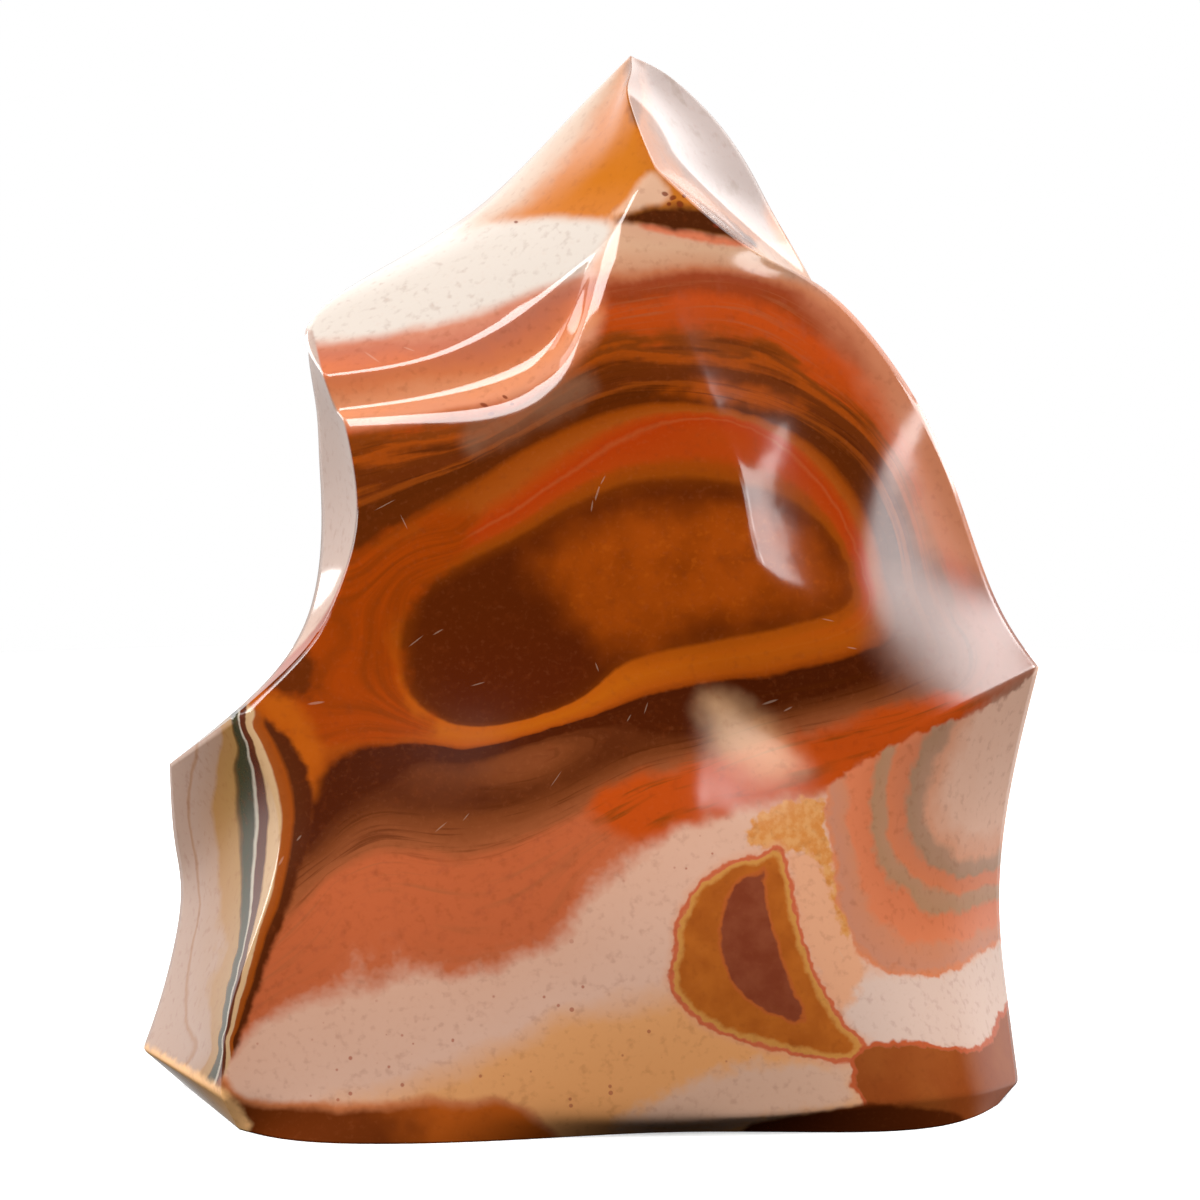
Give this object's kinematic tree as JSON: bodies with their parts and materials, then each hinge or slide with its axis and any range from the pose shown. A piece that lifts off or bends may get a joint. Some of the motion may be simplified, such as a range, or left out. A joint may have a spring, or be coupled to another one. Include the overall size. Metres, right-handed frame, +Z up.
{
  "type": "polished stone flame",
  "caption": "Flame-shaped ornamental stone of banded jasper, ground into hollow scoops that meet in ridges, with one pointed top and a flat foot to stand on.",
  "frame": {"origin": "middle of the bounding box at the height of the flat foot, on the surface that the stone stands on", "axes": "+Z up to the point, +X to the right of someone facing the banded front, +Y from the front to the back"},
  "size_m": [0.1045, 0.0493, 0.1205],
  "materials": {
    "jasper": "polished"
  },
  "bodies": {
    "root": {"flame": "jasper"}
  },
  "joints": []
}
